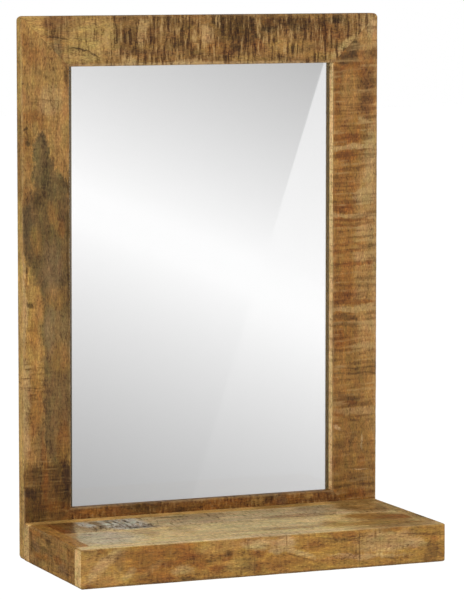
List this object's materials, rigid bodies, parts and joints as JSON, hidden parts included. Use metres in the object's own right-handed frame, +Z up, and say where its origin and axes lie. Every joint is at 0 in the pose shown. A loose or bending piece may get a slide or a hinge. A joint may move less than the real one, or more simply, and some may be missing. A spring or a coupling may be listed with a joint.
{
  "type": "framed wall mirror with shelf",
  "caption": "Upright rectangular mirror in a mitred solid wood frame, with a deep box shelf of wooden boards across its foot and keyhole plates let into its back.",
  "frame": {"origin": "on the wall plane, midway between the entry holes of the two keyholes", "axes": "+Z up, +Y into the wall, +X to the viewer's right; the mirror faces -Y"},
  "size_m": [0.5, 0.23, 0.7],
  "materials": {
    "mango_frame_wood": "satin lacquer over saw marks",
    "mango_shelf_wood": "satin lacquer over saw marks",
    "beech_dowel": "plain",
    "hardboard": "smooth side out",
    "clear_glass": "polished float glass",
    "mirror_silver": "silver coat with back paint",
    "zinc_plated_steel": "zinc plated"
  },
  "bodies": {
    "root": {"left_stile": "mango_frame_wood", "right_stile": "mango_frame_wood", "top_rail": "mango_frame_wood", "bottom_rail": "mango_frame_wood", "mitre_dowels_top_left": "beech_dowel", "mitre_dowels_top_right": "beech_dowel", "mitre_dowels_bottom_left": "beech_dowel", "mitre_dowels_bottom_right": "beech_dowel", "mirror_glass": "clear_glass", "mirror_silvering": "mirror_silver", "backing_panel": "hardboard", "backing_screws": "zinc_plated_steel", "left_hanger_plate": "zinc_plated_steel", "right_hanger_plate": "zinc_plated_steel", "hanger_screws": "zinc_plated_steel", "shelf_front_board": "mango_shelf_wood", "shelf_back_board": "mango_shelf_wood", "shelf_left_end": "mango_shelf_wood", "shelf_right_end": "mango_shelf_wood", "shelf_top_rear_board": "mango_shelf_wood", "shelf_top_front_board": "mango_shelf_wood", "shelf_bottom_rear_board": "mango_shelf_wood", "shelf_bottom_front_board": "mango_shelf_wood", "shelf_front_dowels": "beech_dowel", "shelf_back_dowels": "beech_dowel", "shelf_top_dowels": "beech_dowel", "shelf_bottom_dowels": "beech_dowel", "shelf_screws": "zinc_plated_steel"}
  },
  "joints": []
}
